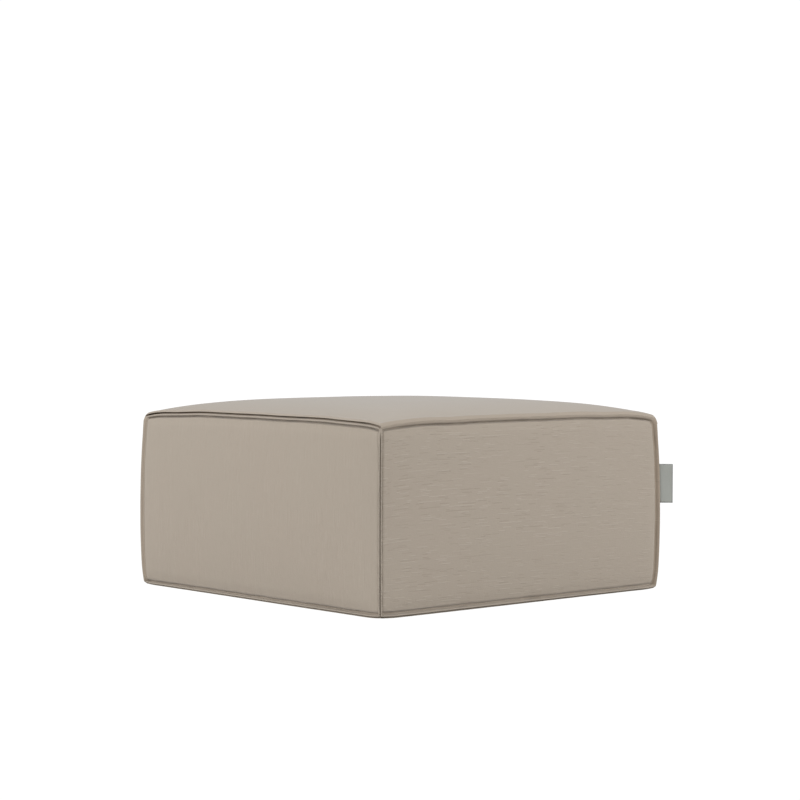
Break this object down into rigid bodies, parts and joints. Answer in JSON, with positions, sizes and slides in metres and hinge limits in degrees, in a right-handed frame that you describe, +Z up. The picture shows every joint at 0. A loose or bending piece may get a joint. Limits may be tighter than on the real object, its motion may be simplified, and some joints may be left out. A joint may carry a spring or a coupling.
{
  "type": "cube pouf stool",
  "caption": "Low square pouf stool: one filled cloth block with a crowned top, softly bowed sides, topstitched seams along its edges and a small folded side label.",
  "frame": {"origin": "centre of the flat base, on the floor", "axes": "+Z up; the side panels face +X, -X, +Y and -Y; the label comes out of the upright seam at the +X, -Y corner"},
  "size_m": [0.8345, 0.8345, 0.413],
  "materials": {
    "cover_cloth": "matte warm grey-beige slub weave, cross threads thicker and uneven, tone-on-tone topstitching",
    "label_tape": "smooth grey satin tape with pressed, slightly darker edges, bare"
  },
  "bodies": {
    "root": {"pouf_body": "cover_cloth", "side_label": "label_tape"}
  },
  "joints": []
}
